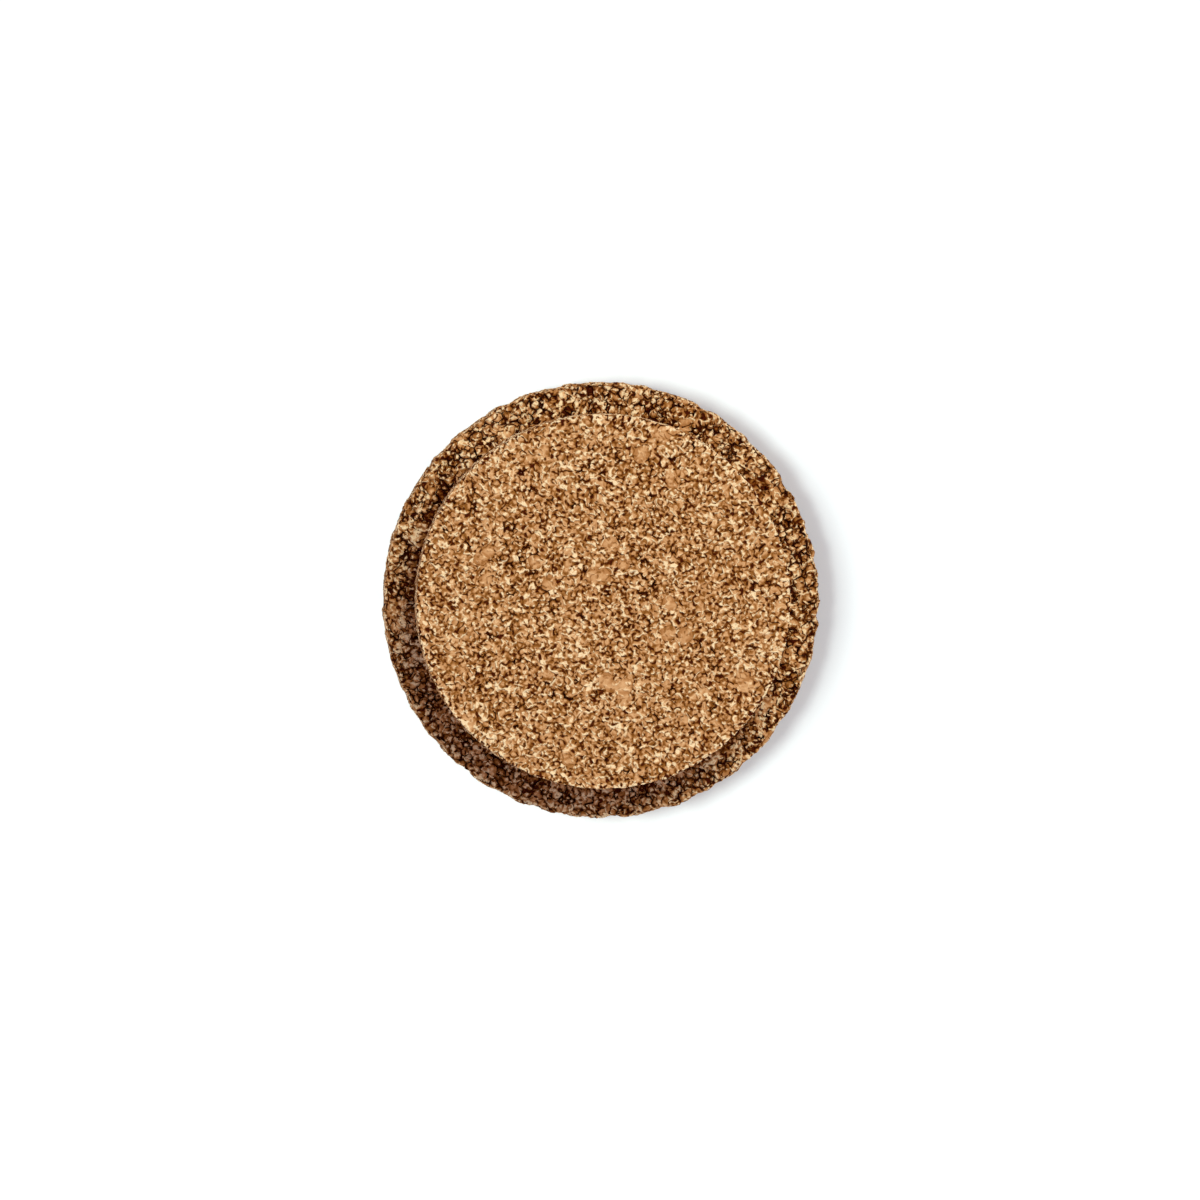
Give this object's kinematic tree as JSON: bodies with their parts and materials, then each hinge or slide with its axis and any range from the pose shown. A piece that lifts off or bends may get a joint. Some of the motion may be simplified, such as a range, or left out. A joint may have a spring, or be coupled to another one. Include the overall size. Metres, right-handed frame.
{
  "type": "cork stopper",
  "caption": "Round flanged stopper of agglomerated cork: a straight plug that fills a jar's neck, under a wider flat cap whose shoulder sits on the rim.",
  "frame": {"origin": "centre of the cap's flat outer face, which the stopper lies on", "axes": "+Z along the stopper's axis, from the cap to the plug's end; +X and +Y across it"},
  "size_m": [0.07, 0.07, 0.025],
  "materials": {
    "cork": "matte, sanded agglomerated cork"
  },
  "bodies": {
    "root": {"stopper": "cork"}
  },
  "joints": []
}
